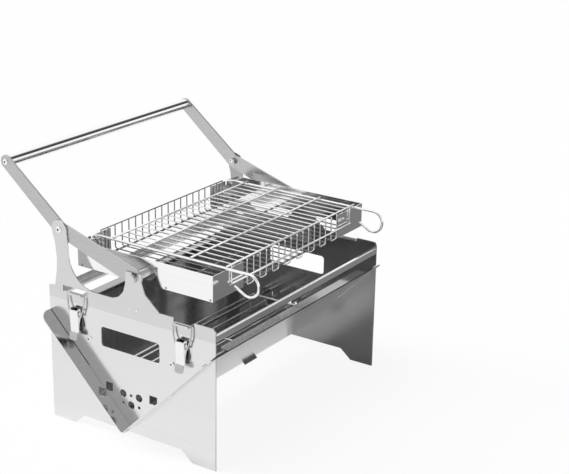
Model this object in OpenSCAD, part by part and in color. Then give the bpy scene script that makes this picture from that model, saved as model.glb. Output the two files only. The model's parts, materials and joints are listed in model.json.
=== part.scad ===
// Portable charcoal grill: a V-shaped sheet-metal firebox that plugs together,
// a latched top frame, a two-armed lift lever and a wire basket with a hinged lid.
// Millimetres, +Z up, origin on the floor at the middle of the bounding box.

/* [Firebox] */
// Length over the outer faces of the two end panels
box_l = 432; // [360:2:560]
// Depth of an end panel, front edge to back edge
box_d = 300; // [270:2:340]
// Height of an end panel
panel_h = 194; // [165:1:230]
// Thickness of the end panels
panel_t = 2; // [1.5:0.1:2.5]
// Thickness of the two trough plates
trough_t = 1.5; // [1:0.1:2]
// Height of the lower edge of the trough above the floor
trough_z = 22; // [20:1:30]
// Distance from the top of the panels down to the upper edges of the trough
trough_drop = 22; // [18:1:30]
// Overhang of the trough plates past the end panels
overhang = 23; // [12:1:40]
// Room above a trough plate in its slot
slot_play = 0.9; // [0.4:0.1:1.2]
// Radius of the upper corners of the trough plates
plate_top_r = 15; // [6:1:30]
// Radius of the lower corners of the trough plates
plate_low_r = 6; // [2:1:8]
// Share of the slope where panel slot and plate slot meet
halving_share = 0.52; // [0.4:0.01:0.6]
// Width of a foot
foot_w = 40.5; // [25:0.5:60]
// Height of the arch between the feet
arch_h = 16; // [8:1:18]
// Sideways run of the arch's slanted sides
arch_run = 19.4; // [5:0.1:30]
// Width of the flange at the top edge of a trough plate
flange_w = 16; // [8:1:20]
// Distance from the end panels to the ends of the flanges
flange_in = 30; // [15:1:60]
// Corner radius of the flanges
flange_r = 8; // [3:1:8]

/* [Lock tabs] */
// Distance of each lock tab from the middle of the trough
tab_x = 79; // [50:1:120]
// Length of a lock tab
tab_l = 34; // [20:1:50]
// How far a lock tab reaches through the other plate
tab_reach = 5; // [4:0.5:12]

/* [Openings in the end panels] */
// Width of the carrying window
window_w = 106; // [80:1:120]
// Height of the carrying window
window_h = 31; // [25:1:34]
// Distance from the top of the panel to the window
window_drop = 25; // [22:1:30]
// Corner radius of the window
window_r = 5; // [3:0.5:10]
// Side of a square vent
vent_side = 14; // [8:0.5:16]
// Distance of the square vents from the middle
vent_side_y = 40.5; // [36:0.5:44]
// Height of the square vents
vent_side_z = 77.5; // [74:0.5:90]
// Diameter of a large round vent
vent_d = 12; // [8:0.5:14]
// Distance of the large round vents from the middle
vent_y = 14.5; // [12:0.5:18]
// Height of the upper pair of round vents
vent_z = 74; // [70:0.5:80]
// Diameter of a small round vent
vent_small_d = 5; // [3:0.5:6]
// Drop from the upper vents to the single lower vent
vent_drop = 15; // [13:0.5:18]

/* [Panel bolts] */
// Diameter of a panel bolt
bolt_d = 5; // [4:0.5:6]
// Distance of the panel bolts from the middle
bolt_y = 75; // [65:1:80]
// Distance from the top of the panel to the bolts
bolt_drop = 50; // [44:1:55]

/* [Charcoal grate] */
// Diameter of a grate rod
grate_d = 3; // [2:0.5:4]
// Height of the long grate rods
grate_z = 86; // [80:1:100]
// Distance from the edge rods in to the outermost long rods
grate_edge_in = 8.5; // [6:0.5:12]
// Number of long rods between the two edge rods
grate_n = 6; // [4:1:6]
// Distance from the ends of the grate to its outer cross rods
grate_cross_in = 37; // [15:1:60]

/* [Top frame] */
// Thickness of the brackets
bracket_t = 2; // [1.5:0.1:2.5]
// Height of the flat bar of a bracket above the panel
bar_h = 20.5; // [18:0.5:24]
// Height of the bracket's rear corner above the panel
lug_h = 17; // [14:0.5:18]
// Height of the dip between ear and fork above the panel
dip_h = 24; // [22:0.5:28]
// Radius of the dip's curve beside the ear
dip_r = 49; // [40:1:50]
// Radius of the ear's round head
ear_r = 14; // [12:0.5:16]
// Width of the fork's post
fork_w = 27; // [24:1:32]
// Height of the fork's horns above the axle
horn_h = 8; // [6:0.5:10]
// Thickness of the rails
rail_t = 1.5; // [1:0.1:2]
// Height of a rail's upright leg
rail_h = 10; // [6:0.5:14]
// Width of a rail's flat leg
rail_w = 16; // [10:1:18]

/* [Lift lever] */
// Distance of the lever pivot in from the back edge
pivot_in = 23; // [18:1:26]
// Height of the lever pivot above the end panel
pivot_up = 106; // [100:1:120]
// Distance of the axle in front of the middle
axle_front = 8; // [4:1:12]
// Height of the axle above the end panel
axle_up = 62; // [58:1:70]
// Distance of the grip behind the lever pivot
grip_back = 100.5; // [80:0.5:130]
// Height of the grip above the lever pivot
grip_up = 82; // [60:1:110]
// Thickness of the arms
arm_t = 3; // [2:0.5:4]
// Radius of an arm round the pivot
arm_pivot_r = 11.5; // [11:0.5:15]
// Radius of an arm's end at the grip
arm_grip_r = 10; // [10:0.5:13]
// Radius of an arm's end at the axle
arm_axle_r = 13; // [12:0.5:18]
// Diameter of the grip tube
grip_d = 18; // [14:0.5:20]
// Wall of the grip tube
grip_wall = 1.2; // [0.8:0.1:2]
// Diameter of the grip screws
grip_screw_d = 5; // [4:0.5:6]
// Diameter of the pivot bolts
pivot_d = 6; // [5:0.5:8]
// Thickness of the washers between ears and arms
washer_t = 0.5; // [0.5:0.1:1]
// Diameter of the axle bolts
axle_d = 8; // [6:0.5:9]

/* [Basket] */
// Distance from the end panels to the end caps
cap_in = 19.4; // [17:0.2:30]
// Distance of the caps' front in from the front edge
cap_front_in = 19; // [17:0.5:24]
// Distance of the caps' back in from the back edge
cap_back_in = 40; // [36:0.5:48]
// Height of an end cap
cap_h = 38; // [34:0.5:42]
// Height of the axle above the bottom of the caps
cap_drop = 13; // [11:0.5:16]
// Length of the caps' side returns
cap_return = 72; // [56:1:90]
// Sheet thickness of the caps
cap_t = 1.2; // [0.8:0.1:1.5]
// Diameter of the basket's cross wires
wire_d = 3; // [2:0.5:3.5]
// Diameter of the basket's long wires and hairpins
grid_d = 2; // [1.6:0.2:3]
// Diameter of the hinge pins and of the lid's side rods
rod_d = 4; // [3:0.2:4.2]
// Distance from the end panels to the lid's side rods
side_in = 50; // [46:1:60]
// Number of wires across the tray, the two below the side rods included
tray_n = 22; // [16:2:24]
// Number of lid wires that turn down into the front wall
front_n = 16; // [8:2:18]
// Height of the tray's back wall above the end caps
wall_up = 5; // [0:0.5:6]
// Distance from the hinge pins forward to the ends of the lid wires
lid_back_in = 33; // [24:1:40]
// Height of the lid's front wall
front_h = 38; // [30:0.5:42]
// Mean radius of a finger loop
loop_r = 16.5; // [14:0.5:18]
// Distance of the loop's centre in front of the lid's front wall
loop_out = 36; // [32:1:40]
// Length of the straight tail of a finger loop
loop_tail = 17; // [8:1:18]

/* [Latches] */
// Distance of the latches from the front and back edges of the panels
latch_in = 54; // [50:1:60]
// Distance from the top of the panel down to the lever pin
latch_drop = 10; // [9:0.5:12]
// Width of a latch lever
latch_w = 15; // [13:0.5:16]
// Length of a latch lever below its pin
latch_l = 43; // [36:1:46]
// Sheet thickness of the latches
latch_t = 1.2; // [1:0.1:1.3]
// Diameter of the lever pin
latch_pin_d = 3; // [2.5:0.1:3.2]
// Distance from the panel to the lever pin
latch_out = 6; // [5.8:0.1:6.5]
// Diameter of the bail wire
bail_d = 2.4; // [2:0.1:2.6]
// Width of a bail at its hook end, over the wire's middle
bail_w = 31; // [29:1:34]
// Distance between the lever pin and the bail's holes
bail_throw = 8; // [7.5:0.1:8.5]
// Width of a keeper tab
keeper_w = 24; // [18:1:25]
// Height of the keeper tab's upper face above the panel
keeper_h = 15; // [14:0.5:16]

/* [Hidden] */

// Clearances and overruns
round_fn = 48;
wire_fn = 8;
cut = 1;
fit = 0.05;
slip = 0.2;
axle_play = 0.3;
weld = 0.4;

// Places worked out from the sizes above
half_l = box_l / 2;
half_d = box_d / 2;
trough_top = panel_h - trough_drop;
trough_a = atan2(trough_top - trough_z, half_d);
slope = 1 / cos(trough_a);
latch_y = half_d - latch_in;
notch_y = half_d * halving_share;
pivot = [half_d - pivot_in, panel_h + pivot_up];
axle = [-axle_front, panel_h + axle_up];
grip = pivot + [grip_back, grip_up];
arm_x = bracket_t + washer_t;
cap_y0 = cap_front_in - half_d;
cap_y1 = half_d - cap_back_in;
cap_z0 = axle[1] - cap_drop;
cap_z1 = cap_z0 + cap_h;
wire_r = wire_d / 2;
grid_r = grid_d / 2;
crossing = wire_r + grid_r - weld;
rod_r = rod_d / 2;
lid_z = cap_z1 + rod_r + fit;
eye_r = 2 * rod_r + rod_r + fit;
hinge = [cap_y1 - cap_t - eye_r - slip, cap_z1 - rod_r - cap_t];
wire_pitch = (box_l - 2 * side_in) / (tray_n - 1);
front_y = cap_y0 - wire_r - slip;
loop_c = [front_y - loop_out, lid_z - loop_r];
grip_reach = grip[0] + arm_grip_r;
loop_reach = loop_r + rod_r - loop_c[0];
shift_y = (loop_reach - grip_reach) / 2;

// Points on an arc round c, from angle a0 to a1 in n steps
function arc(c, r, a0, a1, n) =
    [for (i = [0:n]) c + r * [cos(a0 + (a1 - a0) * i / n), sin(a0 + (a1 - a0) * i / n)]];

// Outline of a rounded rectangle centred on c
function rounded(c, w, h, r) = concat(
    arc(c + [w / 2 - r, h / 2 - r], r, 0, 90, 6),
    arc(c + [r - w / 2, h / 2 - r], r, 90, 180, 6),
    arc(c + [r - w / 2, r - h / 2], r, 180, 270, 6),
    arc(c + [w / 2 - r, r - h / 2], r, 270, 360, 6));

// Outline of a link: two round ends at p and q joined by tangents
function link(p, rp, q, rq) =
    let (d = q - p, a = atan2(d[1], d[0]), b = acos((rp - rq) / norm(d)))
    concat(arc(p, rp, a + b, a + 360 - b, 20), arc(q, rq, a - b, a + b, 14));

// The whole part moves so that its bounding box is centred over the origin
module place() translate([0, shift_y, 0]) children();

// Children stand at the left end: x runs inward from the panel's outer face
module left_end() place() translate([-half_l, 0, 0]) children();

// The same place at the right end, mirrored
module right_end() place() mirror([1, 0, 0]) translate([-half_l, 0, 0]) children();

module both_ends() {
    left_end() children();
    right_end() children();
}

// Unit step from point i to point j of a path
function path_step(p, i, j) = (p[j] - p[i]) / norm(p[j] - p[i]);

// Normal of a flat path at its point i, lengthened as a mitred corner needs
function mitre(p, i) =
    let (last = len(p) - 1,
         a = path_step(p, max(i - 1, 0), max(i, 1)),
         b = path_step(p, min(i, last - 1), min(i + 1, last)))
    [-a[1] - b[1], a[0] + b[0]] / (1 + a * b);

// Wire of radius r swept along a path drawn in x and y
module flat_wire(path, r) {
    n = wire_fn;
    last = len(path) - 1;
    rings = [for (i = [0:last], k = [0:n - 1])
        let (q = path[i] + mitre(path, i) * r * cos(360 * k / n))
        [q[0], q[1], r * sin(360 * k / n)]];
    skin = [for (i = [0:last - 1], k = [0:n - 1], half = [0, 1])
        let (a = i * n + k, b = i * n + (k + 1) % n)
        half == 0 ? [a, a + n, b + n] : [a, b + n, b]];
    polyhedron(rings, concat(
        [[for (k = [0:n - 1]) k]], skin, [[for (k = [n - 1:-1:0]) last * n + k]]), convexity = 6);
}

// A drawing in y and z becomes a sheet of thickness t, from x = 0 inward
module yz_sheet(t) rotate([90, 0, 90]) linear_extrude(t) children();

// Round bar along x from x0 to x1, centred on p in y and z
module bar_x(x0, x1, p, r, sides = round_fn)
    translate([x0, p[0], p[1]]) rotate([0, 90, 0]) cylinder(h = x1 - x0, r = r, $fn = sides);

module bar_y(x, y0, y1, z, r, sides = wire_fn)
    translate([x, y1, z]) rotate([90, 0, 0]) cylinder(h = y1 - y0, r = r, $fn = sides);

module bar_z(x, y, z0, z1, r, sides = wire_fn)
    translate([x, y, z0]) cylinder(h = z1 - z0, r = r, $fn = sides);

// Hexagon nut or bolt head along x
module hex_x(x0, x1, p, across, bore_r)
    difference() {
        bar_x(x0, x1, p, across / sqrt(3), 6);
        bar_x(x0 - cut, x1 + cut, p, bore_r);
    }

// End panels

foot_in = half_d - foot_w;
panel_outline = [
    [-half_d, 0], [-foot_in, 0], [arch_run - foot_in, arch_h], [foot_in - arch_run, arch_h],
    [foot_in, 0], [half_d, 0], [half_d, panel_h], [-half_d, panel_h]
];
window_c = [0, panel_h - window_drop - window_h / 2];
vent_low_z = vent_z - vent_drop;

module panel_slot() {
    y0 = notch_y - trough_t - slip;
    y1 = half_d + cut;
    z0 = trough_z + y0 * tan(trough_a) - slip * slope;
    z1 = trough_z + y1 * tan(trough_a) - slip * slope;
    deep = (trough_t + slip + slot_play) * slope;
    polygon([[y0, z0], [y1, z1], [y1, z1 + deep], [y0, z0 + deep]]);
}

module end_panel()
    color("gainsboro")
    yz_sheet(panel_t)
    difference() {
        polygon(panel_outline);
        polygon(rounded(window_c, window_w, window_h, window_r));
        panel_slot();
        mirror([1, 0]) panel_slot();
        for (s = [-1, 1]) {
            translate([s * vent_side_y, vent_side_z]) square(vent_side, center = true);
            translate([s * vent_y, vent_z]) circle(d = vent_d, $fn = round_fn);
            translate([s * vent_y, vent_low_z]) circle(d = vent_small_d, $fn = round_fn);
            translate([s * bolt_y, panel_h - bolt_drop]) circle(d = bolt_d + 2 * fit, $fn = round_fn);
        }
        translate([0, vent_low_z]) circle(d = vent_d, $fn = round_fn);
        translate([0, vent_z]) circle(d = vent_small_d, $fn = round_fn);
    }

module end_panel_left() left_end() end_panel();
module end_panel_right() right_end() end_panel();

// Trough plates, drawn flat: x along the trough, s up the slope from its lower edge

slope_l = half_d * slope;
plate_x = half_l + overhang;
plate_outline = concat(
    arc([plate_low_r - plate_x, plate_low_r], plate_low_r, 180, 270, 6),
    arc([plate_x - plate_low_r, plate_low_r], plate_low_r, -90, 0, 6),
    arc([plate_x - plate_top_r, slope_l - plate_top_r], plate_top_r, 0, 90, 10),
    arc([plate_top_r - plate_x, slope_l - plate_top_r], plate_top_r, 90, 180, 10));

module lay_front() translate([0, 0, trough_z]) rotate([180 - trough_a, 0, 0]) children();

module plate_sheet()
    translate([0, 0, -trough_t]) linear_extrude(trough_t)
    difference() {
        polygon(plate_outline);
        for (s = [-1, 1])
            translate([s * (half_l - panel_t / 2), 0])
                square([panel_t + 2 * slip, 2 * (notch_y * slope + slip)], center = true);
    }

module flange() {
    y0 = trough_t * sin(trough_a) - half_d;
    x1 = half_l - flange_in;
    outline = concat(
        [[-x1, y0], [x1, y0]],
        arc([x1 - flange_r, y0 + flange_w - flange_r], flange_r, 0, 90, 6),
        arc([flange_r - x1, y0 + flange_w - flange_r], flange_r, 90, 180, 6));
    translate([0, 0, trough_top + trough_t * cos(trough_a) - trough_t])
        linear_extrude(trough_t) polygon(outline);
}

// One plate with its flange, ended at the seam below the grate
module trough_plate() {
    difference() {
        lay_front() plate_sheet();
        translate([-plate_x - cut, -fit, 0]) cube([2 * (plate_x + cut), box_d, panel_h]);
    }
    flange();
}

// Lock tabs, drawn as they lie on the front plate; gap widens them into their slots
module lock_tabs(gap)
    for (s = [-1, 1])
        lay_front()
            translate([s * tab_x - tab_l / 2 - gap, -tab_reach - gap, -trough_t - gap])
                cube([tab_l + 2 * gap, tab_reach + trough_t * 2 + gap, trough_t + 2 * gap]);

module trough_front()
    color("silver")
    place()
    difference() {
        trough_plate();
        mirror([0, 1, 0]) lock_tabs(slip);
    }

module trough_back()
    color("silver")
    place()
    mirror([0, 1, 0]) {
        trough_plate();
        lock_tabs(0);
    }

// Charcoal grate: long rods below, cross rods on them, edge rods lying on the slopes

grate_r = grate_d / 2;
grate_x = half_l - panel_t - slip;
cross_z = grate_z + grate_d - weld;
edge_y = (cross_z - trough_z - (trough_t + grate_r + slip) * slope) / tan(trough_a);
grate_pitch = 2 * (edge_y - grate_edge_in) / (grate_n - 1);

module charcoal_grate()
    color("darkgray")
    place() {
        for (i = [0:grate_n - 1])
            bar_x(-grate_x, grate_x, [(i - (grate_n - 1) / 2) * grate_pitch, grate_z], grate_r, wire_fn);
        for (s = [-1, 1])
            bar_x(-grate_x, grate_x, [s * edge_y, cross_z], grate_r, wire_fn);
        for (x = [grate_cross_in - grate_x, 0, grate_x - grate_cross_in])
            bar_y(x, -edge_y, edge_y, cross_z, grate_r);
    }

// Panel bolts and nuts

bolt_head_h = bolt_d * 0.5;
bolt_head_r = bolt_d * 0.9;

module panel_bolts()
    color("lightgray")
    both_ends()
    for (s = [-1, 1]) {
        p = [s * bolt_y, panel_h - bolt_drop];
        difference() {
            union() {
                bar_x(-bolt_head_h, 0, p, bolt_head_r);
                bar_x(-bolt_head_h / 2, panel_t + bolt_d, p, bolt_d / 2);
            }
            bar_x(-bolt_head_h - cut, -bolt_head_h / 2, p, bolt_d * 0.3, 6);
        }
    }

module panel_nuts()
    color("lightgray")
    both_ends()
    for (s = [-1, 1]) {
        p = [s * bolt_y, panel_h - bolt_drop];
        hex_x(panel_t, panel_t + bolt_d * 0.8, p, bolt_d * 1.6, bolt_d / 2 + fit);
    }

// Brackets of the top frame

bar_top = panel_h + bar_h;
dip_z = panel_h + dip_h;
keeper_z = panel_h + keeper_h;
horn_z = axle[1] + horn_h;
fork_y0 = axle[0] - fork_w / 2;
fork_y1 = axle[0] + fork_w / 2;
bar_corner_r = bar_h / 3;
bail_room = 1;
recess_w = bail_w + bail_d + 2 * bail_room;
// Flanks of the fork's post: share of the flank's width, share of its height
flank_w = 24;
front_flank_w = (fork_y0 + latch_y - recess_w / 2) * 0.58;
flank_shares = [[1, 0], [0.58, 0.09], [0.21, 0.30], [0.05, 0.57], [0, 0.78]];
front_flank_shares = [[0, 0.78], [0.09, 0.6], [0.21, 0.43], [1, 0]];
// Rear edge of the ear: share of the ear's radius behind the pivot, share of its height
neck_shares = [[0.8, 0], [0.5, 0.27], [0.42, 0.49], [0.6, 0.76]];
neck_z0 = panel_h + lug_h + bracket_t;
neck_h = pivot[1] - neck_z0;
dip_c = [pivot[0] - ear_r - fit - dip_r - bracket_t, dip_z + dip_r];

bracket_outline = concat(
    [[half_d, panel_h], [half_d, panel_h + lug_h]],
    [for (s = neck_shares) [pivot[0] + s[0] * ear_r, neck_z0 + s[1] * neck_h]],
    arc(pivot, ear_r, -8, 188, 18),
    arc(dip_c, dip_r, 5, -90, 14),
    [for (s = flank_shares) [fork_y1 + s[0] * flank_w, dip_z + s[1] * (horn_z - dip_z)]],
    [[fork_y1, horn_z], [fork_y0, horn_z]],
    [for (s = front_flank_shares) [fork_y0 - s[0] * front_flank_w, bar_top + s[1] * (horn_z - bar_top)]],
    [[recess_w / 2 - latch_y, bar_top], [recess_w / 2 - latch_y, keeper_z]],
    [[-recess_w / 2 - latch_y, keeper_z], [-recess_w / 2 - latch_y, bar_top]],
    arc([bar_corner_r - half_d, bar_top - bar_corner_r], bar_corner_r, 90, 180, 6),
    [[-half_d, panel_h]]);

// Slot of the fork: it leans as the axle's path does over the height of the horns
horn_turn = horn_h / norm(pivot - axle) * 180 / PI;
lift_tilt = atan2(pivot[1] - axle[1], pivot[0] - axle[0]) + horn_turn / 2;
module fork_slot() {
    r = axle_d / 2 + axle_play;
    translate(axle) circle(r = r, $fn = round_fn);
    translate(axle) rotate(lift_tilt)
        polygon([[-r, 0], [r, 0], [r, horn_h / 2], [r * 1.2, horn_h * 2],
            [-r * 1.2, horn_h * 2], [-r, horn_h / 2]]);
}

keeper_slot_w = 46;
keeper_slot_h = 9;
keeper_slot_back = 4;
keeper_out = 5.2;
lip_t = 1.2;
lip_h = 1;

// Keeper tab bent out of the bracket, with a low lip that keeps the bail on it
module keeper(y) {
    translate([-keeper_out, y - keeper_w / 2, keeper_z - bracket_t])
        cube([keeper_out + bracket_t, keeper_w, bracket_t]);
    translate([0, y - keeper_w / 2, keeper_z - 2 * bracket_t])
        cube([bracket_t, keeper_w, 2 * bracket_t]);
    translate([-keeper_out - lip_t, y - keeper_w / 2, keeper_z - bracket_t])
        cube([lip_t + fit, keeper_w, bracket_t + lip_h]);
}

module bracket()
    color("gainsboro")
    union() {
        yz_sheet(bracket_t)
            difference() {
                polygon(bracket_outline);
                fork_slot();
                translate(pivot) circle(d = pivot_d + 2 * fit, $fn = round_fn);
                translate([latch_y + keeper_slot_back - keeper_slot_w / 2, keeper_z - bracket_t])
                    square([keeper_slot_w, keeper_slot_h]);
                for (s = [-1, 1])
                    translate([axle[0] + s * locator_pitch / 2, locator_rivet_z])
                        circle(d = rivet_d + 2 * fit, $fn = round_fn);
            }
        keeper(-latch_y);
        keeper(latch_y);
    }

module bracket_left() left_end() bracket();
module bracket_right() right_end() bracket();

// Locators: plates riveted inside the brackets that reach down inside the panels
locator_w = 40;
locator_t = 1.5;
locator_reach = 8;
locator_pitch = 12;
rivet_d = 3;
locator_rivet_z = bar_top - bar_h / 4;

module frame_locators()
    color("darkgray")
    both_ends() {
        translate([bracket_t + fit, axle[0] - locator_w / 2, panel_h - locator_reach])
            cube([locator_t, locator_w, locator_reach + bar_h]);
        for (s = [-1, 1]) {
            p = [axle[0] + s * locator_pitch / 2, locator_rivet_z];
            bar_x(-rivet_d / 4, bracket_t + locator_t, p, rivet_d / 2);
        }
    }

// Rails between the brackets: an upright leg and a flat leg turned inward
rail_lift = 1;
rail_x = half_l - bracket_t;

module rail()
    color("silver")
    place()
    translate([-rail_x, -half_d, panel_h + rail_lift]) {
        cube([2 * rail_x, rail_t, rail_h]);
        cube([2 * rail_x, rail_w, rail_t]);
    }

module rail_front() rail();
module rail_rear() translate([0, 2 * shift_y, 0]) mirror([0, 1, 0]) rail();

// Lift lever: two cranked arms and a tube between them

module arm()
    color("silver")
    translate([arm_x, 0, 0])
    yz_sheet(arm_t)
    difference() {
        union() {
            polygon(link(pivot, arm_pivot_r, grip, arm_grip_r));
            polygon(link(pivot, arm_pivot_r, axle, arm_axle_r));
        }
        translate(pivot) circle(d = pivot_d + 2 * fit, $fn = round_fn);
        translate(axle) circle(d = axle_d + 2 * fit, $fn = round_fn);
        translate(grip) circle(d = grip_screw_d + 2 * fit, $fn = round_fn);
    }

module arm_left() left_end() arm();
module arm_right() right_end() arm();

tube_x = half_l - arm_x - arm_t;
tube_ri = grip_d / 2 - grip_wall;
plug_l = grip_d;
screw_head_h = grip_screw_d * 0.5;

module grip_tube()
    color("lightgray")
    place()
    difference() {
        bar_x(-tube_x, tube_x, grip, grip_d / 2);
        bar_x(-tube_x - cut, tube_x + cut, grip, tube_ri);
    }

module grip_plugs()
    color("gray")
    both_ends()
    difference() {
        bar_x(arm_x + arm_t, arm_x + arm_t + plug_l, grip, tube_ri - fit);
        bar_x(arm_x, arm_x + arm_t + plug_l + cut, grip, grip_screw_d / 2 + fit);
    }

module grip_screws()
    color("lightgray")
    both_ends()
    difference() {
        union() {
            bar_x(arm_x - screw_head_h, arm_x, grip, grip_screw_d * 0.9);
            bar_x(arm_x - screw_head_h / 2, arm_x + arm_t + plug_l - cut, grip, grip_screw_d / 2);
        }
        bar_x(arm_x - screw_head_h - cut, arm_x - screw_head_h / 2, grip, grip_screw_d * 0.35, 6);
    }

// Pivot bolts through the ears, with washers and nuts

nut_gap = 0.15;
pivot_head_h = pivot_d * 0.4;
pivot_nut_x = arm_x + arm_t + nut_gap;
pivot_nut_l = pivot_d * 0.8;

module pivot_bolts()
    color("lightgray")
    both_ends()
    difference() {
        union() {
            bar_x(-pivot_head_h, 0, pivot, pivot_d * 0.85);
            bar_x(-pivot_head_h / 2, pivot_nut_x + pivot_nut_l, pivot, pivot_d / 2);
        }
        bar_x(-pivot_head_h - cut, -pivot_head_h / 2, pivot, pivot_d * 0.35, 6);
    }

module pivot_washers()
    color("gray")
    both_ends()
    difference() {
        bar_x(bracket_t + fit, bracket_t + washer_t - fit, pivot, pivot_d);
        bar_x(0, arm_x + arm_t, pivot, pivot_d / 2 + fit);
    }

module pivot_nuts()
    color("lightgray")
    both_ends()
    hex_x(pivot_nut_x, pivot_nut_x + pivot_nut_l, pivot, pivot_d * 1.65, pivot_d / 2 + fit);

// Basket caps: end wall with a return along the front and one along the back,
// which is notched so that the lid's side rod swings clear

tray_cross_z = cap_z0 + wire_r + cap_t;
tray_z = tray_cross_z + crossing;
tray_y0 = cap_y0 + cap_t + wire_d;
tray_y1 = hinge[0] + rod_r + grid_r + fit;
tray_cross_n = 4;
slot_x = side_in + 12 - cap_in;
slot_w = 8;
slot_h = 2.4;
notch_w = rod_d + 4 * slip;

function tray_cross_y(i) = tray_y0 + (hinge[0] - tray_y0) * i / (tray_cross_n - 1);

module cap()
    color("white")
    translate([cap_in, 0, 0])
    difference() {
        translate([0, cap_y0, cap_z0]) cube([cap_return, cap_y1 - cap_y0, cap_h]);
        translate([cap_t, cap_y0 + cap_t, cap_z0 - cut])
            cube([cap_return, cap_y1 - cap_y0 - 2 * cap_t, cap_h + 2 * cut]);
        bar_x(-cut, cap_t + cut, axle, axle_d / 2 + fit);
        bar_x(-cut, cap_t + cut, hinge, rod_r + fit);
        for (i = [0:tray_cross_n - 1])
            bar_x(-cut, cap_t + cut, [tray_cross_y(i), tray_cross_z], wire_r + fit, wire_fn);
        for (z = [cap_z0 + cap_h * 0.35, cap_z0 + cap_h * 0.65])
            translate([slot_x - slot_w / 2, cap_y0 - cut, z]) cube([slot_w, cap_t + 2 * cut, slot_h]);
        translate([side_in - cap_in - notch_w / 2, cap_y1 - cap_t - cut, hinge[1] - rod_d])
            cube([notch_w, cap_t + 2 * cut, cap_h]);
    }

module cap_left() left_end() cap();
module cap_right() right_end() cap();

// Axle: a headed bolt through fork, arm, collar and cap, with a nut inside the cap

axle_head_l = 5;
axle_head_r = axle_d * 0.8;
axle_nut_l = axle_d * 0.6;
collar_r = axle_d;
collar_x = arm_x + arm_t + nut_gap;

module axle_bolts()
    color("lightgray")
    both_ends()
    union() {
        bar_x(-axle_head_l - axle_play, -axle_play, axle, axle_head_r);
        bar_x(-axle_play - cut, cap_in + cap_t + axle_nut_l + cut, axle, axle_d / 2);
    }

module axle_collars()
    color("silver")
    both_ends()
    difference() {
        bar_x(collar_x, cap_in, axle, collar_r);
        bar_x(0, cap_in + cut, axle, axle_d / 2 + fit);
    }

module axle_nuts()
    color("lightgray")
    both_ends()
    hex_x(cap_in + cap_t, cap_in + cap_t + axle_nut_l, axle, axle_d * 1.6, axle_d / 2 + fit);

// Tray grid: wires front to back, laid on the cross wires

function wire_x(i) = side_in - half_l + i * wire_pitch;

module tray_grid()
    color("silver")
    place() {
        for (i = [0:tray_cross_n - 1])
            bar_x(cap_in - half_l, half_l - cap_in, [tray_cross_y(i), tray_cross_z], wire_r, wire_fn);
        for (i = [0:tray_n - 1])
            bar_y(wire_x(i), tray_y0 - wire_d, tray_y1 + (i % (tray_n - 1) > 0 ? grid_r : 0),
                tray_z, grid_r);
    }

// Back wall of the tray: the same wires turned up, under one long wire
wall_top = cap_z1 + wall_up - grid_r;

module tray_wall()
    color("silver")
    place() {
        for (i = [1:tray_n - 2])
            bar_z(wire_x(i), tray_y1, tray_z + grid_r + fit, wall_top, grid_r);
        bar_x(wire_x(1) - grid_r, wire_x(tray_n - 2) + grid_r, [tray_y1, wall_top], grid_r, wire_fn);
    }

// Hinge pins of the lid: headed outside the end caps, through the eyes of the side rods
eye_l = rod_d;

module hinge_pins()
    color("silver")
    both_ends()
    union() {
        bar_x(cap_in - cut, side_in + eye_l, hinge, rod_r);
        bar_x(cap_in - cut, cap_in - fit, hinge, rod_r * 1.5);
        bar_x(side_in + eye_l / 2 + slip, side_in + eye_l, hinge, rod_r * 1.5);
    }

// Lid grid: wires front to back, with the cross wires on top of them

lid_cross_z = lid_z + rod_r + wire_r + fit;
lid_wire_z = lid_cross_z - crossing;
lid_back_y = hinge[0] - lid_back_in;
lid_shares = [0.0, 0.302, 0.694, 0.99];
front_mid_share = 0.38;
lid_n = tray_n - 2;
front_first = (lid_n - front_n) / 2 + 1;
front_z0 = lid_z - front_h;
front_mid_z = front_z0 + front_h * front_mid_share;
front_end_x = half_l - side_in - wire_pitch * 0.65;

module lid_grid()
    color("silver")
    place() {
        for (s = lid_shares)
            bar_x(side_in - half_l - wire_r, half_l - side_in + wire_r,
                [front_y + s * (lid_back_y - front_y), lid_cross_z], wire_r, wire_fn);
        for (i = [1:lid_n])
            bar_y(wire_x(i), front_y - grid_r, lid_back_y, lid_wire_z, grid_r);
    }

// Front wall of the lid: the wires turned down into hairpins, behind one long wire
module lid_front()
    color("silver")
    place() {
        for (i = [front_first:front_first + front_n - 1])
            bar_z(wire_x(i), front_y, front_z0, lid_wire_z - grid_r - fit, grid_r);
        for (i = [front_first:2:front_first + front_n - 2])
            bar_x(wire_x(i) - grid_r, wire_x(i + 1) + grid_r, [front_y, front_z0], grid_r, wire_fn);
        for (s = [-1, 1])
            bar_z(s * front_end_x, front_y, front_mid_z - wire_r, lid_cross_z - wire_r - fit, grid_r);
        bar_x(-front_end_x - wire_r, front_end_x + wire_r,
            [front_y - crossing, front_mid_z], wire_r, wire_fn);
    }

// Side rod of the lid: an eye round a hinge pin at the back, a finger loop in front
loop_end_a = 300;
tail_step = [-sin(loop_end_a), cos(loop_end_a)];
loop_path = concat([[hinge[0], lid_z]], arc(loop_c, loop_r, 90, loop_end_a, 18));
lid_rod_path = concat(loop_path, [loop_path[len(loop_path) - 1] + loop_tail * tail_step]);

module lid_rod()
    color("lightgray")
    union() {
        difference() {
            bar_x(side_in - eye_l / 2, side_in + eye_l / 2, hinge, eye_r);
            bar_x(side_in - eye_l, side_in + eye_l, hinge, rod_r + fit);
        }
        translate([side_in, 0, 0]) rotate([90, 0, 90]) flat_wire(lid_rod_path, rod_r);
    }

module lid_rod_left() left_end() lid_rod();
module lid_rod_right() left_end() translate([box_l - 2 * side_in, 0, 0]) lid_rod();

// Toggle latches, drawn at the origin with the lever pin along y and x running inward

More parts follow.
